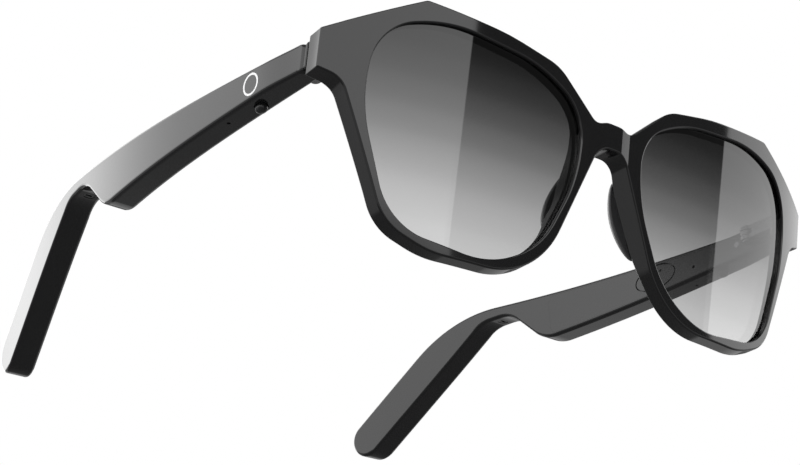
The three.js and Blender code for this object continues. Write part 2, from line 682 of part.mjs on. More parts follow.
pieces.add(mesh("temple_mark_right", mirrored(mark()), COLOURS.mark));

// The design above has its origin between the lenses; the part's is the bottom centre of its bounding box.
const bounds = new THREE.Box3().setFromObject(pieces);
const middle = bounds.getCenter(new THREE.Vector3());
pieces.position.set(-middle.x, -middle.y, -bounds.min.z);

const glasses = new THREE.Group();
glasses.name = "smart_glasses";
glasses.add(pieces);

export default glasses;
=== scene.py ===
"""Looks of the smart glasses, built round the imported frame.

Shapes are drawn in millimetres, bent like the real pieces and placed in metres.
"""

import json
import math

import bmesh
import bpy
import numpy as np
from mathutils import Matrix, Vector


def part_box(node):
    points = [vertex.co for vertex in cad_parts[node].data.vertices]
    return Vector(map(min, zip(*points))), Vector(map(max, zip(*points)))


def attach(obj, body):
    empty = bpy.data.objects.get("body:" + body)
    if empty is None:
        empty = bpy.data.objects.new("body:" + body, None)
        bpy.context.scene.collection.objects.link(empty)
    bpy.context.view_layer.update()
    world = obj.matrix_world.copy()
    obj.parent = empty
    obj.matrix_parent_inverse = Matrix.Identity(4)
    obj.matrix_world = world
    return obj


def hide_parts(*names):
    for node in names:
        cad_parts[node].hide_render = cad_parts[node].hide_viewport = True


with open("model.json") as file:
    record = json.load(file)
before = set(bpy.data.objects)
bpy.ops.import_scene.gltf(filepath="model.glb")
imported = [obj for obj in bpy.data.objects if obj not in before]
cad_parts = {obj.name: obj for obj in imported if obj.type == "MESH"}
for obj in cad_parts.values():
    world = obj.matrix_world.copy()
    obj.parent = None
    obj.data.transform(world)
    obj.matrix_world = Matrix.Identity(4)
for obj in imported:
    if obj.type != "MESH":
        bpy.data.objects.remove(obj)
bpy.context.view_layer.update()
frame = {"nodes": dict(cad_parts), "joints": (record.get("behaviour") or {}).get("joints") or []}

# ---------------------------------------------------------------- sizes, from the frame

MM = 0.001
FRONT_LOW, FRONT_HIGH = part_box("front_frame")
JOINTS = {joint["name"]: joint for joint in frame["joints"]}
HINGE_AT = Vector(JOINTS["temple_left_fold"]["pos_m"])

HALF_WIDTH = FRONT_HIGH.x / MM
RIM_BOTTOM = -24.5
HINGE_Y = 16.5
# The drawings have their origin between the lenses. This moves them to the frame's origin.
ORIGIN = Vector((0, HINGE_AT.y - HINGE_Y * MM, FRONT_LOW.z - RIM_BOTTOM * MM))

FRONT_THICK = 3.4
WRAP_SQUARE = 0.000418
WRAP_FOURTH = 0.2573e-6
LEAN = 0.2216
TEMPLE_BOTTOM = 9.6
TEMPLE_THICK = 6.0
TIP_THICK = 6.8
TIP_FROM_Y = 110.0
TEMPLE_PLAN = (73.78, -1.42, 13.66, -24.18, 7.68)
NECK_BOTTOM = 20.4
SEAM = 0.015            # between cover and temple

# Front view, half of it: x, z and corner radius, from the bridge's top round the rim to the nose arch.
FRONT_CORNERS = [
    (2.0, 13.85, 6), (5.2, 12.9, 3.5), (16.8, 21.9, 12), (31.2, 24.5, 70), (51.8, 26.1, 2),
    (HALF_WIDTH, 16.4, 0.4), (HALF_WIDTH, 8.3, 0.4), (67.9, 6.6, 6.0), (56.6, -20.6, 11),
    (46.0, RIM_BOTTOM, 22), (18.6, RIM_BOTTOM, 21), (3.7, 8.15, 4.5),
]
LENS_CORNERS = [
    (9.1, 13.9, 11.6), (21.5, 20.4, 34.7), (46.6, 22.9, 60), (61.6, 18.6, 12.4), (63.6, 3.0, 40),
    (55.2, -20.9, 13.5), (31.0, -23.7, 30), (17.9, -16.9, 20.8), (9.4, -0.1, 30),
]
# Side view of a temple: y, z and corner radius, from the hinge along the top to the ear tip and back.
TEMPLE_CORNERS = [
    (10.6, 15.9, 1.3), (24.0, 16.4, 30), (66.0, 20.4, 60), (117.0, 25.3, 40), (154.2, -1.4, 4.8),
    (148.7, -9.3, 4.8), (107.0, NECK_BOTTOM, 10), (97.4, NECK_BOTTOM, 9), (86.6, TEMPLE_BOTTOM, 10),
    (11.8, TEMPLE_BOTTOM, 1.3),
]
# The opening in a temple's inner face that the cover closes.
BAY_CORNERS = [
    (25, 15.4, 0.8), (66.0, 19.45, 60), (84, 21.05, 2), (84, 10.55, 1.5), (25, 10.55, 0.8),
]

# ---------------------------------------------------------------- outlines


class Line:
    """A closed outline: points, and at each the direction out of the material."""

    def __init__(self, points, normals):
        self.points = np.array(points, float)
        self.normals = np.array(normals, float)

    def hole(self):
        return Line(self.points, -self.normals)

    def grown(self, distance):
        return Line(self.points + self.normals * distance, self.normals)


def mirrored_corners(corners):
    return [(-u, v, r) for u, v, r in reversed(corners)]


ARC_TURN = math.radians(3)      # the most that an arc turns in one step
SMALL_TURN = math.radians(8)    # and the arc of a small hole or a key
CORNER_ROOM = 0.49              # the most of a side that the arc at one of its ends takes


def outline(corners, turn=ARC_TURN):
    """Straight runs joined by arcs, from (u, v, radius) corners; counter-clockwise."""
    area = sum(a[0] * b[1] - b[0] * a[1] for a, b in zip(corners, corners[1:] + corners[:1]))
    if area < 0:
        corners = corners[::-1]
    points, normals = [], []
    for i, (u, v, radius) in enumerate(corners):
        here = np.array((u, v))
        before = np.array(corners[i - 1][:2]) - here
        after = np.array(corners[(i + 1) % len(corners)][:2]) - here
        room = CORNER_ROOM * min(np.linalg.norm(before), np.linalg.norm(after))
        before /= np.linalg.norm(before)
        after /= np.linalg.norm(after)
        half = math.acos(float(np.clip(before @ after, -1, 1))) / 2
        reach = min(radius / math.tan(half), room)
        arc = reach * math.tan(half)
        middle = before + after
        centre = here + middle / np.linalg.norm(middle) * arc / math.sin(half)
        spoke = here + before * reach - centre
        end = here + after * reach - centre
        sweep = math.atan2(spoke[0] * end[1] - spoke[1] * end[0], float(spoke @ end))
        steps = max(2, math.ceil(abs(sweep) / turn))
        outward = 1 if sweep > 0 else -1
        for step in range(steps + 1):
            angle = sweep * step / steps
            c, s = math.cos(angle), math.sin(angle)
            turned = np.array((spoke[0] * c - spoke[1] * s, spoke[0] * s + spoke[1] * c))
            points.append(centre + turned)
            normals.append(turned / arc * outward)
    return Line(points, normals)


def ellipse(centre, half, sides=64):
    angles = np.linspace(0, 2 * math.pi, sides, endpoint=False)
    points = np.stack([centre[0] + half[0] * np.cos(angles), centre[1] + half[1] * np.sin(angles)], 1)
    normals = np.stack([np.cos(angles) / half[0], np.sin(angles) / half[1]], 1)
    return Line(points, normals / np.linalg.norm(normals, axis=1)[:, None])


def capsule(centre, half_long, radius):
    """A slot shape, long along its first coordinate."""
    u, v = centre
    return outline([
        (u - half_long, v - radius, radius), (u + half_long, v - radius, radius),
        (u + half_long, v + radius, radius), (u - half_long, v + radius, radius),
    ], SMALL_TURN)


# ---------------------------------------------------------------- bends


def front_y(x, z):
    """y of the front's outer surface: wrapped round the face, its top further forward."""
    return WRAP_SQUARE * x**2 + WRAP_FOURTH * x**4 - LEAN * z


def eased(value, low, high):
    """0 below low, 1 above high, with a soft start and end."""
    share = np.clip((value - low) / (high - low), 0, 1)
    return share * share * (3 - 2 * share)


BRIDGE_PROUD = 0.28
BRIDGE_FLAT = 2.4
BRIDGE_FOOT = 4.9
SADDLE_PEAK = 2.6       # extra depth behind the nose, at the pads
SADDLE_TOP = 1.3        # and at the top of the arch
SADDLE_HEIGHTS = (-18.0, -2.0, 9.0, 15.0)
NOSE_LINE = (3.7, 8.15, 0.456)      # a point on the nose side of the rim, and its slope
SADDLE_FADES = (3.0, 9.0)           # away from the nose line
END_BLOCK = (68.4, 68.9)            # from here outwards the end piece is deeper
END_DEEPER = 0.9
END_BLEND = 9.0                     # below the hinge plate the extra depth starts this much further in
BLEND_HEIGHTS = (7.5, 9.0)
END_TAPER = 0.12                    # the end face draws in towards the back
BACK_EDGE = (3.0, 3.04)             # whatever is deeper than this belongs to the back


def saddle(x, z):
    """Extra depth at a place on the front, for the saddle behind the nose."""
    foot, peak, arch, top = SADDLE_HEIGHTS
    depth = SADDLE_PEAK * eased(z, foot, peak) - (SADDLE_PEAK - SADDLE_TOP) * eased(z, peak, arch)
    depth = depth - SADDLE_TOP * eased(z, arch, top)
    away = np.abs(x) - NOSE_LINE[0] - NOSE_LINE[2] * (NOSE_LINE[1] - z)
    return depth * (1 - eased(away, *SADDLE_FADES))


def front_bend(p):
    """(x, z, depth behind the outer surface) to (x, y, z): proud bridge, saddle and deeper end pieces."""
    x, z, depth = p.T
    proud = BRIDGE_PROUD * np.clip((BRIDGE_FOOT - np.abs(x)) / (BRIDGE_FOOT - BRIDGE_FLAT), 0, 1)
    share = np.clip(1 - depth / FRONT_THICK, 0, 1)
    at_back = np.clip((depth - BACK_EDGE[0]) / (BACK_EDGE[1] - BACK_EDGE[0]), 0, 1)
    inner = END_BLOCK[0] - END_BLEND * (1 - eased(z, *BLEND_HEIGHTS))
    outwards = np.clip((np.abs(x) - inner) / (END_BLOCK[1] - inner), 0, 1)
    deeper = at_back * (saddle(x, z) + END_DEEPER * outwards)
    drawn_in = END_TAPER * np.clip(depth, 0, FRONT_THICK) * outwards * np.sign(x)
    return np.stack([x - drawn_in, front_y(x, z) + depth - proud * share + deeper, z], 1)


def cap_bend(p):
    """The front's plain bend, without proud bridge, saddle or deeper end pieces."""
    x, z, depth = p.T
    return np.stack([x, front_y(x, z) + depth, z], 1)


def temple_x(y):
    """x of a temple's outer face, a smooth curve in plan."""
    return sum(factor * (y / 100) ** power for power, factor in enumerate(TEMPLE_PLAN))


def temple_thick(y):
    return TEMPLE_THICK + (TIP_THICK - TEMPLE_THICK) * np.clip(y / TIP_FROM_Y, 0, 1)


DRAWN_IN = 1.1          # the outer face draws in towards the end piece
DRAWN_OVER = (10.0, 25.0)


def temple_across(y, depth):
    """x at a depth below the outer face, out of six."""
    drawn = DRAWN_IN * (1 - eased(y, *DRAWN_OVER))
    return temple_x(y) - drawn - (temple_thick(y) - drawn) * depth / TEMPLE_THICK


END_SLANT = 0.41        # the temple's front end follows the front's wrap
SLANT_FADES = (13.0, 24.0)


def temple_bend(p):
    """(y, z, depth below the outer face, out of six) to (x, y, z), for the wearer's left temple."""
    y, z, depth = p.T
    across = TEMPLE_THICK / 2 - depth
    fade = 1 - np.clip((y - SLANT_FADES[0]) / (SLANT_FADES[1] - SLANT_FADES[0]), 0, 1)
    y = y + END_SLANT * across * fade
    return np.stack([temple_across(y, depth), y, z], 1)


# ---------------------------------------------------------------- solids

FRONT, BACK, WALL, ROUND, UNDER = range(5)      # what a face is, for its normals
QUARTER = math.pi / 2
INTO_FACE = 0.02        # normals are taken this share of the way into their face
ON_CUT = 1e-6           # closer to a cutting plane than this counts as on it
STRIP_PLAY = 1e-4       # a strip's edge may lie this far off its cut
SLOPE_STEP = 1e-4
CRISP_FACING = (0.3, 0.9)       # how squarely a wall faces forward, from rounded to crisp


class Solid:
    """A closed mesh drawn in (a, b, depth) and then bent. Every face corner gets its exact normal."""

    def __init__(self, crisp_end=0):
        self.mesh = bmesh.new()
        self.crisp_end = crisp_end
        self.side = self.mesh.verts.layers.float_vector.new("side")
        self.lift = self.mesh.verts.layers.float.new("lift")
        self.kind = self.mesh.faces.layers.int.new("kind")

    def vert(self, at, side, lift=0.0):
        made = self.mesh.verts.new(at)
        made[self.side] = side
        made[self.lift] = lift
        return made

    def ring(self, line, inset, depth, lift=0.0):
        """A ring at one depth. A crisp end, the one that faces down along a, goes without most rounding."""
        share = 1 - self.crisp_end * eased(-line.normals[:, 0], *CRISP_FACING)
        at = line.points - line.normals * (inset * share)[:, None]
        return [
            self.vert((a, b, depth), (n[0], n[1], 0), lift)
            for (a, b), n in zip(at, line.normals)
        ]

    def under_ring(self, line, height):
        """A ring in a level plane; its outline is drawn in (a, depth)."""
        return [
            self.vert((a, height, d), (n[0], 0, n[1]))
            for (a, d), n in zip(line.points, line.normals)
        ]

    def skin(self, first, second, kind):
        count = len(first)
        for i in range(count):
            j = (i + 1) % count
            face = self.mesh.faces.new((first[i], first[j], second[j], second[i]))
            face[self.kind] = kind

    def cap(self, rings, kind):
        edges = []
        for ring in rings:
            for i, vert in enumerate(ring):
                after = ring[(i + 1) % len(ring)]
                edges.append(self.mesh.edges.get((vert, after)) or self.mesh.edges.new((vert, after)))
        made = bmesh.ops.triangle_fill(self.mesh, edges=edges, use_beauty=True)
        for item in made["geom"]:
            if isinstance(item, bmesh.types.BMFace):
                item[self.kind] = kind

    def edge_rings(self, line, thick, front_round, back_round, steps=5, between=(), start=0.0):
        """Rounds the front edge, runs down the wall, and rounds the back edge.

        Returns the first and the last ring.
        """
        rings = []
        for step in range(steps + 1):
            angle = -QUARTER + QUARTER * step / steps
            inset = front_round * (1 - math.cos(angle))
            depth = start + front_round * (1 + math.sin(angle))
            rings.append((self.ring(line, inset, depth, angle), ROUND))
        for inset, depth, kind in between:
            rings.append((self.ring(line, inset, depth), kind))
        for step in range(steps + 1):
            angle = QUARTER * step / steps
            inset = back_round * (1 - math.cos(angle))
            depth = start + thick - back_round * (1 - math.sin(angle))
            rings.append((self.ring(line, inset, depth, angle), WALL if step == 0 else ROUND))
        for (first, _), (second, kind) in zip(rings, rings[1:]):
            self.skin(first, second, kind)
        return rings[0][0], rings[-1][0]

    def plate(self, line, thick, front_round, back_round, steps, start):
        """A whole plate with rounded edges and a flat front and back."""
        front, back = self.edge_rings(line, thick, front_round, back_round, steps, start=start)
        self.cap([front], FRONT)
        self.cap([back], BACK)

    def pocket(self, line, at, floor, kind, island=None):
        """A straight pocket from one depth to another; its mouth is a hole in a cap. Returns the mouth."""
        mouth = self.ring(line, 0, at)
        foot = self.ring(line, 0, floor)
        self.skin(mouth, foot, WALL)
        if island is None:
            self.cap([foot], kind)
            return mouth
        island_foot = self.ring(island, 0, floor)
        island_top = self.ring(island, 0, at)
        self.skin(island_top, island_foot, WALL)
        self.cap([foot, island_foot], kind)
        self.cap([island_top], kind)
        return mouth

    def cut_levels(self, half, levels):
        """Cuts the strips within a half width again, at the given heights."""
        bm = self.mesh
        for at in levels:
            faces = [f for f in bm.faces if all(abs(v.co.x) <= half + STRIP_PLAY for v in f.verts)]
            edges = {e for f in faces for e in f.edges}
            verts = {v for f in faces for v in f.verts}
            bmesh.ops.bisect_plane(
                bm, geom=[*verts, *edges, *faces], dist=ON_CUT,
                plane_co=(0, at, 0), plane_no=(0, 1, 0),
            )

    def finish(self, name, bend, cuts, side=1, level_cuts=()):
        """Cuts the faces into strips, bends them, and gives the object its exact normals."""
        bm = self.mesh
        for at in cuts:
            bmesh.ops.bisect_plane(
                bm, geom=bm.verts[:] + bm.edges[:] + bm.faces[:], dist=ON_CUT,
                plane_co=(at, 0, 0), plane_no=(1, 0, 0),
            )
        for half, levels in level_cuts:
            self.cut_levels(half, levels)
        bmesh.ops.recalc_face_normals(bm, faces=bm.faces[:])
        bm.verts.index_update()
        local = np.array([v.co for v in bm.verts], float)
        sides = np.array([v[self.side] for v in bm.verts], float)
        lifts = np.array([v[self.lift] for v in bm.verts], float)
        corner_vert, corner_kind, corner_at, faces = [], [], [], []
        for face in bm.faces:
            centre = face.calc_center_median()
            faces.append([v.index for v in face.verts])
            for vert in face.verts:
                corner_vert.append(vert.index)
                corner_kind.append(face[self.kind])
                corner_at.append(vert.co.lerp(centre, INTO_FACE))
        corner_vert, corner_kind = np.array(corner_vert), np.array(corner_kind)
        corner_at = np.array(corner_at, float)
        normals = sides[corner_vert]
        lift = lifts[corner_vert]
        rounded = corner_kind == ROUND
        flat = {FRONT: (0, 0, -1), BACK: (0, 0, 1), UNDER: (0, -1, 0)}
        for kind, direction in flat.items():
            normals[corner_kind == kind] = direction
        normals[rounded] *= np.cos(lift[rounded])[:, None]
        normals[rounded, 2] += np.sin(lift[rounded])
        normals = bent_normals(bend, corner_at, normals)
        points = bend(local)
        if side < 0:
            points[:, 0] *= -1
            normals[:, 0] *= -1
        mesh = bpy.data.meshes.new(name)
        mesh.from_pydata(placed(points), [], faces)
        mesh.update()
        check = np.zeros(len(mesh.polygons) * 3)
        mesh.polygons.foreach_get("normal", check)
        starts = np.zeros(len(mesh.polygons), int)
        mesh.polygons.foreach_get("loop_start", starts)
        if (check.reshape(-1, 3) * normals[starts]).sum() < 0:
            # The faces came out inside out. They are turned, and their normals follow the new order.
            mesh.flip_normals()
            order = []
            for polygon in mesh.polygons:
                loops = [mesh.loops[i].vertex_index for i in polygon.loop_indices]
                start = polygon.loop_start
                old = list(corner_vert[start:start + len(loops)])
                order += [start + old.index(v) for v in loops]
            normals = normals[order]
        mesh.shade_smooth()
        mesh.normals_split_custom_set([Vector(n) for n in normals])
        bm.free()
        made = bpy.data.objects.new(name, mesh)
        bpy.context.scene.collection.objects.link(made)
        return made


def placed(points):
    """Drawn millimetres to metres in the row frame."""
    return [Vector(p) * MM + ORIGIN for p in points]


def bent_normals(bend, at, normals):
    """The normals after a bend, from the bend's slopes at each point."""
    slopes = np.stack([
        (bend(at + SLOPE_STEP * axis) - bend(at - SLOPE_STEP * axis)) / (2 * SLOPE_STEP)
        for axis in np.eye(3)
    ], 2)
    made = np.einsum("nji,nj->ni", np.linalg.inv(slopes), normals)
    return made / np.linalg.norm(made, axis=1)[:, None]


# ---------------------------------------------------------------- materials


def material(name):
    made = bpy.data.materials.new(name)
    made.use_nodes = True
    nodes = made.node_tree.nodes
    nodes.clear()
    return made, nodes, made.node_tree.links


def add(nodes, kind, **values):
    node = nodes.new(kind)
    for name, value in values.items():
        setattr(node, name, value)
    return node


def set_inputs(node, **values):
    for name, value in values.items():
        node.inputs[name.replace("_", " ")].default_value = value


BLOTCH_SCALE = 90.0
STEEL_DARK, STEEL_BRIGHT = (0.17, 0.17, 0.175, 1), (0.27, 0.27, 0.275, 1)
STEEL_ROUGH = (0.18, 0.36)
BRUSHED = (1, 1, 40)            # the brush lines run level: upwards they lie forty times closer
BRUSH_SCALE = 400.0


def plastic(name, colour, rough, grain, rough_spread=0.02, ior=1.5, mottle=0.2):
    """Moulded plastic: colour and gloss vary faintly, and a fine grain bumps the surface.

    The grain is given as its scale and its height in metres.
    """
    grain_scale, grain_height = grain
    made, nodes, links = material(name)
    output = add(nodes, "ShaderNodeOutputMaterial")
    shader = add(nodes, "ShaderNodeBsdfPrincipled")
    links.new(shader.outputs[0], output.inputs[0])
    place = add(nodes, "ShaderNodeTexCoord")
    broad = add(nodes, "ShaderNodeTexNoise")
    set_inputs(broad, Scale=BLOTCH_SCALE, Detail=3.0)
    links.new(place.outputs["Object"], broad.inputs["Vector"])
    tint = add(nodes, "ShaderNodeValToRGB")
    tint.color_ramp.elements[0].color = (*[c * (1 - mottle) for c in colour], 1)
    tint.color_ramp.elements[1].color = (*[c * (1 + mottle) for c in colour], 1)
    links.new(broad.outputs[0], tint.inputs[0])
    links.new(tint.outputs[0], shader.inputs["Base Color"])
    gloss = add(nodes, "ShaderNodeMapRange")
    set_inputs(gloss, To_Min=rough - rough_spread, To_Max=rough + rough_spread)
    links.new(broad.outputs[0], gloss.inputs["Value"])
    links.new(gloss.outputs[0], shader.inputs["Roughness"])
    fine = add(nodes, "ShaderNodeTexNoise")
    set_inputs(fine, Scale=grain_scale, Detail=4.0)
    links.new(place.outputs["Object"], fine.inputs["Vector"])
    bump = add(nodes, "ShaderNodeBump")
    set_inputs(bump, Strength=1.0, Distance=grain_height)
    links.new(fine.outputs[0], bump.inputs["Height"])
    links.new(bump.outputs[0], shader.inputs["Normal"])
    shader.inputs["IOR"].default_value = ior
    return made


def steel(name):
    """Brushed steel: fine lines along one way drive gloss and bump."""
    made, nodes, links = material(name)
    output = add(nodes, "ShaderNodeOutputMaterial")
    shader = add(nodes, "ShaderNodeBsdfPrincipled")
    shader.inputs["Metallic"].default_value = 1.0
    links.new(shader.outputs[0], output.inputs[0])
    place = add(nodes, "ShaderNodeTexCoord")
    stretch = add(nodes, "ShaderNodeMapping")
    stretch.inputs["Scale"].default_value = BRUSHED
    links.new(place.outputs["Object"], stretch.inputs["Vector"])
    lines = add(nodes, "ShaderNodeTexNoise")
    set_inputs(lines, Scale=BRUSH_SCALE, Detail=5.0)
    links.new(stretch.outputs[0], lines.inputs["Vector"])
    tint = add(nodes, "ShaderNodeValToRGB")
    tint.color_ramp.elements[0].color = STEEL_DARK
    tint.color_ramp.elements[1].color = STEEL_BRIGHT
    links.new(lines.outputs[0], tint.inputs[0])
    links.new(tint.outputs[0], shader.inputs["Base Color"])
    gloss = add(nodes, "ShaderNodeMapRange")
    set_inputs(gloss, To_Min=STEEL_ROUGH[0], To_Max=STEEL_ROUGH[1])
    links.new(lines.outputs[0], gloss.inputs["Value"])
    links.new(gloss.outputs[0], shader.inputs["Roughness"])
    bump = add(nodes, "ShaderNodeBump")
    set_inputs(bump, Strength=0.3, Distance=5e-6)
    links.new(lines.outputs[0], bump.inputs["Height"])
    links.new(bump.outputs[0], shader.inputs["Normal"])
    return made


LENS_IOR = 1.5
LENS_POLISH = 0.005
LENS_CLEAR = 0.97       # share of light that an untinted face lets through
# Share of light that the tint lets through, from the bottom of the lens to its top.
TINT = [
    (0.0, 0.60), (0.13, 0.52), (0.30, 0.375), (0.47, 0.215),
    (0.60, 0.118), (0.73, 0.055), (0.86, 0.02), (1.0, 0.007),
]


def lens_surface(name, tinted):
    """One face of a lens: part of the light is mirrored, the rest passes and is tinted darker upwards."""
    made, nodes, links = material(name)
    output = add(nodes, "ShaderNodeOutputMaterial")
    mix = add(nodes, "ShaderNodeMixShader")
    through = add(nodes, "ShaderNodeBsdfTransparent")
    mirror = add(nodes, "ShaderNodeBsdfGlossy")
    set_inputs(mirror, Roughness=LENS_POLISH)
    mirror.inputs["Color"].default_value = (1, 1, 1, 1)
    links.new(mix.outputs[0], output.inputs[0])
    links.new(through.outputs[0], mix.inputs[1])
    links.new(mirror.outputs[0], mix.inputs[2])
    facing = add(nodes, "ShaderNodeNewGeometry")
    index = add(nodes, "ShaderNodeMapRange")
    set_inputs(index, To_Min=LENS_IOR, To_Max=1 / LENS_IOR)
    links.new(facing.outputs["Backfacing"], index.inputs["Value"])
    fresnel = add(nodes, "ShaderNodeFresnel")
    links.new(index.outputs[0], fresnel.inputs["IOR"])
    links.new(fresnel.outputs[0], mix.inputs[0])
    if tinted:
        low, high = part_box("lens_left")
        place = add(nodes, "ShaderNodeTexCoord")
        split = add(nodes, "ShaderNodeSeparateXYZ")
        links.new(place.outputs["Object"], split.inputs[0])
        height = add(nodes, "ShaderNodeMapRange")
        set_inputs(height, From_Min=low.z, From_Max=high.z)
        links.new(split.outputs["Z"], height.inputs["Value"])
        shade = add(nodes, "ShaderNodeValToRGB")
        shade.color_ramp.interpolation = "CARDINAL"
        stops = shade.color_ramp.elements
        while len(stops) < len(TINT):
            stops.new(0.5)
        for stop, (at, share) in zip(stops, TINT):
            stop.position = at
            stop.color = (share, share, share, 1)
        links.new(height.outputs[0], shade.inputs[0])
        links.new(shade.outputs[0], through.inputs["Color"])
    else:
        through.inputs["Color"].default_value = (LENS_CLEAR, LENS_CLEAR, LENS_CLEAR, 1)
    return made


BLACK = plastic("black_plastic", (0.0062, 0.0062, 0.0065), 0.065, (700, 1.2e-6))
INSIDE_BLACK = plastic("inside_plastic", (0.0065, 0.0065, 0.0068), 0.16, (3200, 4e-6), 0.03)
TRIM = plastic("trim_plastic", (0.009, 0.009, 0.0095), 0.22, (2500, 3e-6), 0.05)
PAD = plastic("pad_silicone", (0.03, 0.03, 0.031), 0.35, (1800, 5e-6), 0.05, 1.42)
PRINT = plastic("ring_print", (0.8, 0.8, 0.8), 0.4, (2500, 3e-6), 0.05)
STEEL = steel("hinge_steel")
LENS_FRONT = lens_surface("lens_tint", True)
LENS_BACK = lens_surface("lens_clear", False)

# ---------------------------------------------------------------- pieces


def dress(made, body, slot, materials, *nodes):
    for item in materials:
        made.data.materials.append(item)
    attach(made, body)
    if nodes:
        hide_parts(*nodes)
    return made


def steps(low, high, step):
    count = max(1, round((high - low) / step))
    return [low + (high - low) * i / count for i in range(1, count)]


LENS_DEPTH = (1.0, 2.8)
LENS_SEAT = 0.6
GROOVE_DEPTH = (0.8, 3.0)
GROOVE_REACH = 0.9
RIM_ROUND = 0.35
OPENING_BACK_ROUND = 0.3
FRONT_STRIP = HALF_WIDTH / 72
NOSE_STRIPS = (20, -21, 16, 1.0)        # half width, lowest, highest and step of the level cuts
LENS_ROUND = 0.2
LENS_STRIPS = (8, 65, 1.0)
FACING_OUT = -0.5       # a face whose normal points further forward than this is on the outside


def front_frame():
    solid = Solid()
    outer = outline(FRONT_CORNERS + mirrored_corners(FRONT_CORNERS))
    fronts, backs = [], []
    rings = solid.edge_rings(outer, FRONT_THICK, RIM_ROUND, RIM_ROUND)
    fronts.append(rings[0])
    backs.append(rings[1])
    groove = [
        (0, GROOVE_DEPTH[0], WALL), (GROOVE_REACH, GROOVE_DEPTH[0], BACK),
        (GROOVE_REACH, GROOVE_DEPTH[1], WALL), (0, GROOVE_DEPTH[1], FRONT),
    ]
    for corners in (LENS_CORNERS, mirrored_corners(LENS_CORNERS)):
        opening = outline(corners).hole()
        rings = solid.edge_rings(opening, FRONT_THICK, RIM_ROUND, OPENING_BACK_ROUND, between=groove)
        fronts.append(rings[0])
        backs.append(rings[1])
    solid.cap(fronts, FRONT)
    solid.cap(backs, BACK)
    cuts = steps(-HALF_WIDTH, HALF_WIDTH, FRONT_STRIP)
    for at in (BRIDGE_FLAT, BRIDGE_FOOT, *END_BLOCK):
        cuts += [-at, at]
    level_cuts = [(NOSE_STRIPS[0], steps(*NOSE_STRIPS[1:])), (HALF_WIDTH, BLEND_HEIGHTS)]
    made = solid.finish("front_shell", front_bend, cuts, level_cuts=level_cuts)
    return dress(made, "front", "frame_plastic", [BLACK], "front_frame")


def lens(side):
    solid = Solid()
    line = outline(LENS_CORNERS).grown(LENS_SEAT)
    thick = LENS_DEPTH[1] - LENS_DEPTH[0]
    solid.plate(line, thick, LENS_ROUND, LENS_ROUND, 3, LENS_DEPTH[0])
    name = "left" if side > 0 else "right"
    made = solid.finish(f"lens_{name}_glass", front_bend, steps(*LENS_STRIPS), side)
    dress(made, "front", "tinted_lens", [LENS_FRONT, LENS_BACK], f"lens_{name}")
    for polygon in made.data.polygons:
        polygon.material_index = 0 if polygon.normal.y < FACING_OUT else 1
    return made


front_frame()
for wearer_side in (1, -1):
    lens(wearer_side)

# ---------------------------------------------------------------- temples

EDGE_ROUND = 0.9
TEMPLE_CRISP = 0.88     # how much of the rounding the front end goes without
CONTROL_Y = 28.8
MIC_Y = 38.5
BUTTON_DEPTH = 3.4      # below the outer face, a little past the middle
BUTTON_HALF_LONG = 1.45
BUTTON_PROUD = 1.5
BUTTON_RADIUS = 1.25
KEY_TOP = 11.2
KEY_DOME = 1.15
KEY_BACK_ROUND = 0.1
MARK_CENTRE = (27.7, 13.1)
MARK_OUTER, MARK_INNER = 2.5, 2.02
MARK_PROUD = 0.01
MARK_ROUND = 0.02
VENT_Y = (101.4, 103.5)
SIDES = {"left": 1, "right": -1}
# Holes and recesses of the shell: how deep they go, and the play round what sits in them.
KEY_DEEP, KEY_PLAY = 2.6, 0.12
MIC_DEEP, MIC_OUTWARDS = 1.2, 0.7
VENT_DEEP, VENT_RADIUS = 1.0, 1.3
MARK_DEEP, MARK_PLAY = 0.2, 0.03
PIN_HOLE = (0.4, 0.4)
PIN_HOLE_SIDES = 24
BAY_FLOOR = 1.3         # below the outer face
WALL_PLAY = 1e-3        # a level wall is level to within this
TEMPLE_STRIP = 2.0


def open_underside(solid, height, span, holes):
    """Takes out the level wall face that covers a span, and fills it again round pockets going up."""
    face = next(
        f for f in solid.mesh.faces
        if f[solid.kind] == WALL and all(abs(v.co.y - height) < WALL_PLAY for v in f.verts)
        and min(v.co.x for v in f.verts) <= span[0] and max(v.co.x for v in f.verts) >= span[1]
    )
    border = list(face.verts)
    solid.mesh.faces.remove(face)
    mouths = []
    for line, depth in holes:
        mouth = solid.under_ring(line.hole(), height)
        roof = solid.under_ring(line.hole(), height + depth)
        solid.skin(mouth, roof, WALL)
        solid.cap([roof], UNDER)
        mouths.append(mouth)
    solid.cap([border] + mouths, UNDER)


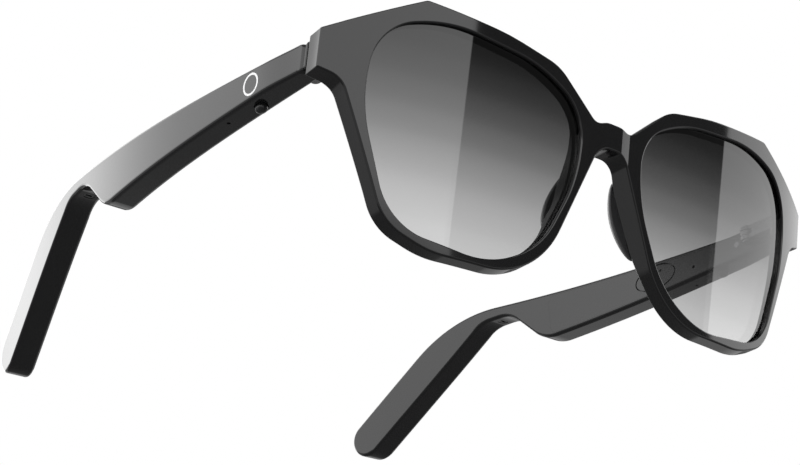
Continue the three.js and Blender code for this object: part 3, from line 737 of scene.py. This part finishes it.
def temple_shell(name, side):
    solid = Solid(TEMPLE_CRISP)
    rings = solid.edge_rings(outline(TEMPLE_CORNERS), TEMPLE_THICK, EDGE_ROUND, EDGE_ROUND, 8)
    middle = TEMPLE_THICK / 2
    key = capsule((CONTROL_Y, BUTTON_DEPTH), BUTTON_HALF_LONG + KEY_PLAY, BUTTON_RADIUS + KEY_PLAY)
    sound = ellipse((MIC_Y, middle - MIC_OUTWARDS), PIN_HOLE, PIN_HOLE_SIDES)
    open_underside(solid, TEMPLE_BOTTOM, (CONTROL_Y, MIC_Y), [(key, KEY_DEEP), (sound, MIC_DEEP)])
    vent_middle, vent_half = sum(VENT_Y) / 2, (VENT_Y[1] - VENT_Y[0]) / 2
    vent = capsule((vent_middle, middle), vent_half, VENT_RADIUS)
    open_underside(solid, NECK_BOTTOM, (vent_middle, vent_middle), [(vent, VENT_DEEP)])
    outer_cap = [rings[0]]
    if side < 0:
        outer_cap.append(solid.pocket(
            ellipse(MARK_CENTRE, (MARK_OUTER + MARK_PLAY,) * 2).hole(), 0, MARK_DEEP, FRONT,
            ellipse(MARK_CENTRE, (MARK_INNER - MARK_PLAY,) * 2),
        ))
    solid.cap(outer_cap, FRONT)
    bay = solid.pocket(outline(BAY_CORNERS).hole(), TEMPLE_THICK, BAY_FLOOR, BACK)
    solid.cap([rings[1], bay], BACK)
    made = solid.finish(f"temple_{name}_body", temple_bend, steps(12, 156, TEMPLE_STRIP), side)
    return dress(made, f"temple_{name}", "frame_plastic", [BLACK], f"temple_shell_{name}")


PLATE_CENTRE = (48.3, 14.3)
PLATE_HALF = (6.4, 3.05)
PLATE_GROOVE = (0.28, 0.5)      # its width round the plate and its depth
PLATE_THICK = 0.36
PLATE_ROUNDS = (0.05, 0.12)     # of its hidden edge and the one that is seen
PLATE_DOT = (-1.9, 1.2)         # from the plate's centre
PLATE_DOT_HALF = (0.42, 0.42)
PLATE_DOT_DEEP = 0.25
PORT = (35.7, 12.7)
PORT_DEEP = 0.9
COVER_THICK = 1.1
COVER_ROUND = 0.01


def temple_cover(name, side):
    solid = Solid()
    line = outline(BAY_CORNERS).grown(-SEAM)
    start = TEMPLE_THICK - COVER_THICK
    front, back = solid.edge_rings(line, COVER_THICK, COVER_ROUND, COVER_ROUND, 2, start=start)
    solid.cap([front], FRONT)
    groove, deep = PLATE_GROOVE
    around = ellipse(PLATE_CENTRE, [h + groove for h in PLATE_HALF]).hole()
    oval = solid.pocket(around, TEMPLE_THICK, TEMPLE_THICK - deep, BACK)
    hole = ellipse(PORT, PIN_HOLE, PIN_HOLE_SIDES).hole()
    port = solid.pocket(hole, TEMPLE_THICK, TEMPLE_THICK - PORT_DEEP, BACK)
    solid.cap([back, oval, port], BACK)
    made = solid.finish(f"temple_{name}_inner_cover", temple_bend, steps(26, 84, TEMPLE_STRIP), side)
    return dress(made, f"temple_{name}", "frame_plastic", [INSIDE_BLACK], f"temple_cover_{name}")


def charging_plate(name, side):
    solid = Solid()
    line = ellipse(PLATE_CENTRE, PLATE_HALF)
    front, back = solid.edge_rings(line, PLATE_THICK, *PLATE_ROUNDS, 3, start=TEMPLE_THICK - PLATE_THICK)
    solid.cap([front], FRONT)
    (y, z), (along, up) = PLATE_CENTRE, PLATE_DOT
    hole = ellipse((y + along, z + up), PLATE_DOT_HALF, PIN_HOLE_SIDES).hole()
    dot = solid.pocket(hole, TEMPLE_THICK, TEMPLE_THICK - PLATE_DOT_DEEP, BACK)
    solid.cap([back, dot], BACK)
    made = solid.finish(f"temple_{name}_oval_plate", temple_bend, steps(42, 55, 1.5), side)
    return dress(made, f"temple_{name}", "trim_plastic", [INSIDE_BLACK], f"charging_plate_{name}")


CAP_FROM = 4.7          # behind the front's outer surface
CAP_THICK = 0.5
CAP_ROUND = 0.12
CAP_X = (68.7, 72.5)
CAP_Z = (9.65, 15.7)
CAP_CORNERS = (0.5, 0.9)        # inner and outer


def end_cap(name, side):
    """The thin plate on a temple's front end."""
    solid = Solid()
    (inner, outer), (bottom, top) = CAP_X, CAP_Z
    tight, wide = CAP_CORNERS
    line = outline([(inner, bottom, tight), (outer, bottom, wide), (outer, top, wide), (inner, top, tight)])
    solid.plate(line, CAP_THICK, CAP_ROUND, CAP_ROUND, 3, CAP_FROM)
    made = solid.finish(f"temple_{name}_front_plate", cap_bend, steps(*CAP_X, 1.0), side)
    return dress(made, f"temple_{name}", "frame_plastic", [BLACK], f"temple_end_cap_{name}")


def level_bend(p):
    """(y, depth below the outer face, height) to (x, y, z)."""
    y, depth, z = p.T
    return np.stack([temple_across(y, depth), y, z], 1)


def button(name, side):
    """A key that stands out of the underside and ends in a soft dome."""
    solid = Solid()
    key = capsule((CONTROL_Y, BUTTON_DEPTH), BUTTON_HALF_LONG, BUTTON_RADIUS)
    bottom = TEMPLE_BOTTOM - BUTTON_PROUD
    solid.plate(key, KEY_TOP - bottom, KEY_DOME, KEY_BACK_ROUND, 8, bottom)
    made = solid.finish(f"button_{name}_key", level_bend, [], side)
    return dress(made, f"button_{name}", "trim_plastic", [TRIM], f"control_button_{name}")


def mark(name, side):
    solid = Solid()
    edges = [ellipse(MARK_CENTRE, (MARK_OUTER,) * 2), ellipse(MARK_CENTRE, (MARK_INNER,) * 2).hole()]
    outer, inner = [
        solid.edge_rings(line, MARK_DEEP, MARK_ROUND, MARK_ROUND, 2, start=-MARK_PROUD)
        for line in edges
    ]
    solid.cap([outer[0], inner[0]], FRONT)
    solid.cap([outer[1], inner[1]], BACK)
    made = solid.finish(f"temple_{name}_ring", temple_bend, steps(25, 31, 1.0), side)
    return dress(made, f"temple_{name}", "mark_print", [PRINT], f"temple_mark_{name}")


for wearer_name, wearer_side in SIDES.items():
    temple_shell(wearer_name, wearer_side)
    temple_cover(wearer_name, wearer_side)
    charging_plate(wearer_name, wearer_side)
    end_cap(wearer_name, wearer_side)
    button(wearer_name, wearer_side)
mark("right", -1)

# ---------------------------------------------------------------- nose pads


PAD_HALF = (1.9, 2.2, 8.6)
PAD_CENTRE = (9.6, FRONT_THICK + 0.3, -3.0)
PAD_LEAN = math.radians(24.5)       # along the nose line
PAD_SPLAY = math.radians(22)        # open towards the face
PAD_FOOT = FRONT_THICK + 0.05
PAD_CREASE = math.radians(50)


def nose_pad(name, side):
    """A long soft pad, cut off flat on the rim's back and carried by the saddle."""
    bm = bmesh.new()
    bmesh.ops.create_uvsphere(bm, u_segments=64, v_segments=40, radius=1)
    turn = (
        Matrix.Translation(PAD_CENTRE)
        @ Matrix.Rotation(-PAD_LEAN, 4, "Y")
        @ Matrix.Rotation(-PAD_SPLAY, 4, "Z")
        @ Matrix.Diagonal((*PAD_HALF, 1))
    )
    bmesh.ops.transform(bm, matrix=turn, verts=bm.verts[:])
    bmesh.ops.bisect_plane(
        bm, geom=bm.verts[:] + bm.edges[:] + bm.faces[:], plane_co=(0, PAD_FOOT, 0),
        plane_no=(0, -1, 0), clear_outer=True,
    )
    bmesh.ops.holes_fill(bm, edges=[e for e in bm.edges if e.is_boundary], sides=0)
    bmesh.ops.recalc_face_normals(bm, faces=bm.faces[:])
    for vert in bm.verts:
        x, y, z = vert.co
        at = Vector((x * side, y + front_y(x, z) + saddle(x, z), z))
        vert.co = at * MM + ORIGIN
    if side < 0:
        bmesh.ops.reverse_faces(bm, faces=bm.faces[:])
    mesh = bpy.data.meshes.new(f"nose_pad_{name}_soft")
    bm.to_mesh(mesh)
    bm.free()
    mesh.shade_smooth()
    mesh.set_sharp_from_angle(angle=PAD_CREASE)
    made = bpy.data.objects.new(f"nose_pad_{name}_soft", mesh)
    bpy.context.scene.collection.objects.link(made)
    return dress(made, "front", "pad_rubber", [PAD], f"nose_pad_{name}")


for wearer_name, wearer_side in SIDES.items():
    nose_pad(wearer_name, wearer_side)

# ---------------------------------------------------------------- carried-over nodes


def paint_nodes(finish, *stems):
    for stem in stems:
        for name in SIDES:
            node = frame["nodes"][f"{stem}_{name}"]
            node.data.materials.clear()
            node.data.materials.append(finish)


paint_nodes(
    STEEL, "hinge_bracket", "bracket_screw_lower", "bracket_screw_upper", "hinge_pin", "hinge_leaf",
    "leaf_screw", "microphone",
)
paint_nodes(TRIM, "button_switch", "speaker", "speaker_grille")
BOARD = plastic("board_green", (0.012, 0.09, 0.035), 0.35, (1500, 8e-6), 0.08)
FOIL = plastic("battery_foil", (0.35, 0.36, 0.38), 0.3, (900, 2e-5), 0.08)
paint_nodes(BOARD, "circuit_board")
paint_nodes(FOIL, "battery")

# ---------------------------------------------------------------- light, floor and camera

CAMERA_AT = Vector((-0.2781638, -0.3239302, -0.1594539))
CAMERA_AZIMUTH = math.radians(41.1394)
CAMERA_LIFT = math.radians(25.3098)
CAMERA_ROLL = math.radians(-2.3952)
CAMERA_LENS = 87.749
CAMERA_SENSOR = 36


def camera():
    data = bpy.data.cameras.new("photo_camera")
    data.lens = CAMERA_LENS
    data.sensor_width = CAMERA_SENSOR
    data.clip_start = 0.01
    made = bpy.data.objects.new("photo_camera", data)
    bpy.context.scene.collection.objects.link(made)
    sin, cos = math.sin, math.cos
    ahead = Vector((
        sin(CAMERA_AZIMUTH) * cos(CAMERA_LIFT), cos(CAMERA_AZIMUTH) * cos(CAMERA_LIFT), sin(CAMERA_LIFT),
    ))
    level = Vector((cos(CAMERA_AZIMUTH), -sin(CAMERA_AZIMUTH), 0))
    upright = level.cross(ahead)
    right = level * cos(CAMERA_ROLL) + upright * sin(CAMERA_ROLL)
    up = upright * cos(CAMERA_ROLL) - level * sin(CAMERA_ROLL)
    turn = Matrix((right, up, -ahead)).transposed().to_4x4()
    made.matrix_world = Matrix.Translation(CAMERA_AT) @ turn
    bpy.context.scene.camera = made


STUDIO = 2.2            # brightness of the white studio all round
BACK_PANEL = 3.5
BACK_FROM, BACK_TO = math.radians(148), math.radians(168)
FLAG = 0.12             # a tall black flag in front of the glasses, to the wearer's left
FLAG_FROM, FLAG_TO = math.radians(27.1), math.radians(54.2)
FLAG_SOFT = math.radians(0.15)
SIDE_DARK = 0.15        # the studio is dim to the wearer's left, behind the glasses
SIDE_FROM, SIDE_TO = math.radians(100), math.radians(160)
SIDE_SOFT = math.radians(6)
BELOW = 0.2
NEAR_GROUND = 0.6       # just under the horizon
CEILING = 0.5


def heights(low, high):
    """The heights on a unit globe of two angles above the horizon."""
    return math.sin(math.radians(low)), math.sin(math.radians(high))


CEILING_HEIGHTS = heights(33, 48)
HORIZON_HEIGHTS = heights(2.5, 5)
GROUND_HEIGHTS = heights(-28, -20)


def ramp(nodes, links, source, low, high, to_low, to_high, smooth=True):
    made = add(nodes, "ShaderNodeMapRange")
    if smooth:
        made.interpolation_type = "SMOOTHSTEP"
    set_inputs(made, From_Min=low, From_Max=high, To_Min=to_low, To_Max=to_high)
    links.new(source, made.inputs["Value"])
    return made.outputs[0]


def math_node(nodes, links, operation, first, second=None):
    made = add(nodes, "ShaderNodeMath", operation=operation)
    for socket, value in zip(made.inputs, (first, second)):
        if value is None:
            continue
        if isinstance(value, (int, float)):
            socket.default_value = value
        else:
            links.new(value, socket)
    return made.outputs[0]


def studio():
    """A white studio: brighter back wall, one dark flag, dim side, ceiling and lower half.

    The camera sees plain white in place of it.
    """
    world = bpy.data.worlds.new("studio")
    bpy.context.scene.world = world
    world.use_nodes = True
    nodes, links = world.node_tree.nodes, world.node_tree.links
    nodes.clear()
    output = add(nodes, "ShaderNodeOutputWorld")
    place = add(nodes, "ShaderNodeTexCoord")
    split = add(nodes, "ShaderNodeSeparateXYZ")
    links.new(place.outputs["Generated"], split.inputs[0])
    x, y, z = split.outputs
    backwards = math_node(nodes, links, "MULTIPLY", y, -1)
    heading = math_node(nodes, links, "ARCTAN2", x, backwards)
    away = math_node(nodes, links, "ABSOLUTE", heading)
    back = ramp(nodes, links, away, BACK_FROM, BACK_TO, STUDIO, BACK_PANEL)
    rise = ramp(nodes, links, heading, FLAG_FROM - FLAG_SOFT, FLAG_FROM + FLAG_SOFT, 0, 1)
    fall = ramp(nodes, links, heading, FLAG_TO - FLAG_SOFT, FLAG_TO + FLAG_SOFT, 1, 0)
    flag = math_node(nodes, links, "MULTIPLY", rise, fall)
    open_share = math_node(nodes, links, "SUBTRACT", 1, flag)
    enter = ramp(nodes, links, heading, SIDE_FROM - SIDE_SOFT, SIDE_FROM + SIDE_SOFT, 0, 1)
    leave = ramp(nodes, links, heading, SIDE_TO - SIDE_SOFT, SIDE_TO + SIDE_SOFT, 1, 0)
    unlit = math_node(nodes, links, "MULTIPLY", enter, leave)
    side_light = ramp(nodes, links, unlit, 0, 1, 1, SIDE_DARK / STUDIO, False)
    around = math_node(nodes, links, "MULTIPLY", back, side_light)
    lit = math_node(nodes, links, "MULTIPLY", around, open_share)
    dark = math_node(nodes, links, "MULTIPLY", flag, FLAG)
    upper = math_node(nodes, links, "ADD", lit, dark)
    ceiling = ramp(nodes, links, z, *CEILING_HEIGHTS, 1, CEILING / STUDIO)
    covered = math_node(nodes, links, "MULTIPLY", upper, ceiling)
    low = ramp(nodes, links, z, *HORIZON_HEIGHTS, 0, 1)
    above = math_node(nodes, links, "MULTIPLY", covered, low)
    ground = ramp(nodes, links, z, *GROUND_HEIGHTS, BELOW, NEAR_GROUND)
    hidden = ramp(nodes, links, low, 0, 1, 1, 0, False)
    lower = math_node(nodes, links, "MULTIPLY", ground, hidden)
    level = math_node(nodes, links, "ADD", above, lower)
    lighting = add(nodes, "ShaderNodeBackground")
    links.new(level, lighting.inputs["Strength"])
    seen = add(nodes, "ShaderNodeBackground")
    set_inputs(seen, Strength=1.0)
    for shader in (lighting, seen):
        shader.inputs["Color"].default_value = (1, 1, 1, 1)
    path = add(nodes, "ShaderNodeLightPath")
    mix = add(nodes, "ShaderNodeMixShader")
    links.new(path.outputs["Is Camera Ray"], mix.inputs[0])
    links.new(lighting.outputs[0], mix.inputs[1])
    links.new(seen.outputs[0], mix.inputs[2])
    links.new(mix.outputs[0], output.inputs[0])


FLOOR_RADIUS = 4.0
FLOOR_AT = -0.30        # well below the glasses and the camera


def floor():
    mesh = bpy.data.meshes.new("floor")
    bm = bmesh.new()
    bmesh.ops.create_circle(bm, cap_ends=True, segments=96, radius=FLOOR_RADIUS)
    bm.to_mesh(mesh)
    bm.free()
    made = bpy.data.objects.new("floor", mesh)
    bpy.context.scene.collection.objects.link(made)
    made.location.z = FLOOR_AT
    made.visible_glossy = False
    mesh.materials.append(plastic("floor_paint", (0.52, 0.52, 0.52), 0.7, (60, 2e-5), mottle=0.02))


camera()
studio()
floor()
bpy.context.scene.view_settings.view_transform = "Standard"
